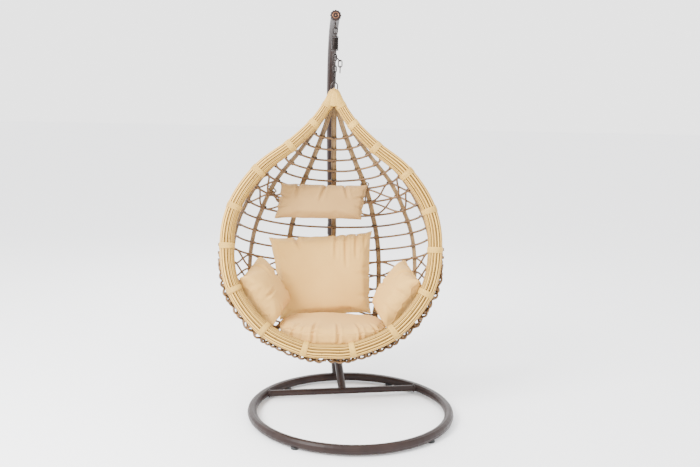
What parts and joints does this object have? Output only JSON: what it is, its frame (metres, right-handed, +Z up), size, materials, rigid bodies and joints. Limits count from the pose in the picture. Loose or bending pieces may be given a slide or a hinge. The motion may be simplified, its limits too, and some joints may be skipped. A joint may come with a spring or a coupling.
{
  "type": "hanging egg chair",
  "caption": "Hanging egg chair: a teardrop cane basket with beige cushions, hung by a chain and spring from a bowed dark bronze steel post on a floor ring.",
  "frame": {"origin": "on the floor, under the middle of the whole chair's bounding box", "axes": "+Z up; the seat faces -Y; +X is the sitter's left, which is the right side seen from the front"},
  "size_m": [1.1323, 1.2604, 1.9319],
  "materials": {
    "bronze_paint": "dark bronze powder coat, half gloss",
    "dark_steel": "darkened zinc-plated steel hardware",
    "rattan": "pale straw-coloured cane with a satin skin",
    "wicker": "mottled grey-tan woven cane",
    "cushion_fabric": "warm beige canvas",
    "black_plastic": "matt black moulded plastic"
  },
  "bodies": {
    "stand": {"base_ring_front": "bronze_paint", "base_ring_rear": "bronze_paint", "crossbar": "bronze_paint", "front_leg": "bronze_paint", "lower_post": "bronze_paint", "upper_post": "bronze_paint", "post_sleeve": "bronze_paint", "post_bolt": "dark_steel", "ring_bolt_left": "dark_steel", "ring_bolt_right": "dark_steel", "foot_pad_front_left": "black_plastic", "foot_pad_front_right": "black_plastic", "foot_pad_rear_left": "black_plastic", "foot_pad_rear_right": "black_plastic", "post_end_cap": "bronze_paint", "eye_bolt": "dark_steel", "eye_nut": "dark_steel"},
    "hanger": {"hanger_ring": "dark_steel"},
    "spring_top": {"spring_upper_hook": "dark_steel", "coil_spring": "dark_steel"},
    "spring_foot": {"spring_lower_hook": "dark_steel"},
    "top_link": {"chain_link_1": "dark_steel"},
    "chain": {"chain_link_2": "dark_steel", "chain_link_3": "dark_steel", "chain_link_4": "dark_steel", "chain_link_5": "dark_steel"},
    "tail_1": {"tail_link_1": "dark_steel"},
    "tail_2": {"tail_link_2": "dark_steel"},
    "tail_3": {"tail_link_3": "dark_steel"},
    "basket": {"basket_ring": "dark_steel", "apex_wrap": "rattan", "rim_tube": "bronze_paint", "rim_canes": "rattan", "rib_centre": "wicker", "rib_left_1": "wicker", "rib_left_2": "wicker", "rib_left_3": "wicker", "rib_right_1": "wicker", "rib_right_2": "wicker", "rib_right_3": "wicker", "hoop_1": "wicker", "hoop_2": "wicker", "hoop_3": "wicker", "hoop_4": "wicker", "hoop_5": "wicker", "hoop_6": "wicker", "hoop_7": "wicker", "hoop_8": "wicker", "hoop_9": "wicker", "hoop_10": "wicker", "hoop_11": "wicker", "hoop_12": "wicker", "hoop_13": "wicker", "hoop_14": "wicker"},
    "seat": {"seat_cushion": "cushion_fabric"},
    "back": {"back_cushion": "cushion_fabric"},
    "pillow_left": {"left_pillow": "cushion_fabric"},
    "pillow_right": {"right_pillow": "cushion_fabric"},
    "head": {"head_pillow": "cushion_fabric"}
  },
  "joints": [
    {"name": "fore_aft_swing", "type": "hinge", "parent": "stand", "child": "hanger", "pos_m": [-0.04286, 0.02889, 1.85417], "axis": [1, 0, 0], "range_deg": [-20, 3.5]},
    {"name": "side_swing", "type": "hinge", "parent": "hanger", "child": "spring_top", "pos_m": [-0.04286, 0.02889, 1.82997], "axis": [0, 1, 0], "range_deg": [-10, 10]},
    {"name": "spring_bounce", "type": "slide", "parent": "spring_top", "child": "spring_foot", "axis": [0, 0, 1], "range_m": [-0.035, 0.006], "stiffness_N_per_m": 12000, "springref_m": 0.006, "deforming": ["coil_spring"]},
    {"name": "top_link_twist", "type": "hinge", "parent": "spring_foot", "child": "top_link", "pos_m": [-0.04286, 0.02889, 1.72597], "axis": [0, 0, 1], "range_deg": [-12, 12]},
    {"name": "basket_swivel", "type": "hinge", "parent": "top_link", "child": "chain", "pos_m": [-0.04286, 0.02889, 1.69597], "axis": [0, 0, 1], "range_deg": [-24, 24]},
    {"name": "tail_first_link", "type": "hinge", "parent": "top_link", "child": "tail_1", "pos_m": [-0.03411, 0.02889, 1.71427], "axis": [0, 1, 0], "range_deg": [-40, 0]},
    {"name": "tail_second_link", "type": "hinge", "parent": "tail_1", "child": "tail_2", "pos_m": [-0.01714, 0.02889, 1.6973], "axis": [0, 1, 0], "range_deg": [-20, 8]},
    {"name": "tail_third_link", "type": "hinge", "parent": "tail_2", "child": "tail_3", "pos_m": [-0.01714, 0.02889, 1.6706], "axis": [1, 0, 0], "range_deg": [-20, 20]},
    {"name": "basket_nod", "type": "hinge", "parent": "chain", "child": "basket", "pos_m": [-0.04286, 0.02889, 1.59827], "axis": [1, 0, 0], "range_deg": [-4, 2]},
    {"name": "seat_lift", "type": "slide", "parent": "basket", "child": "seat", "axis": [0, 0, 1], "range_m": [0, 0.02]},
    {"name": "back_cushion_lift", "type": "slide", "parent": "seat", "child": "back", "axis": [0, 0, 1], "range_m": [0, 0.02]},
    {"name": "left_pillow_lift", "type": "slide", "parent": "seat", "child": "pillow_left", "axis": [0, 0, 1], "range_m": [0, 0.06]},
    {"name": "right_pillow_lift", "type": "slide", "parent": "seat", "child": "pillow_right", "axis": [0, 0, 1], "range_m": [0, 0.06]},
    {"name": "head_pillow_tilt", "type": "hinge", "parent": "basket", "child": "head", "pos_m": [-0.09286, 0.14089, 1.012], "axis": [1, 0, 0], "range_deg": [-12, 12]}
  ]
}
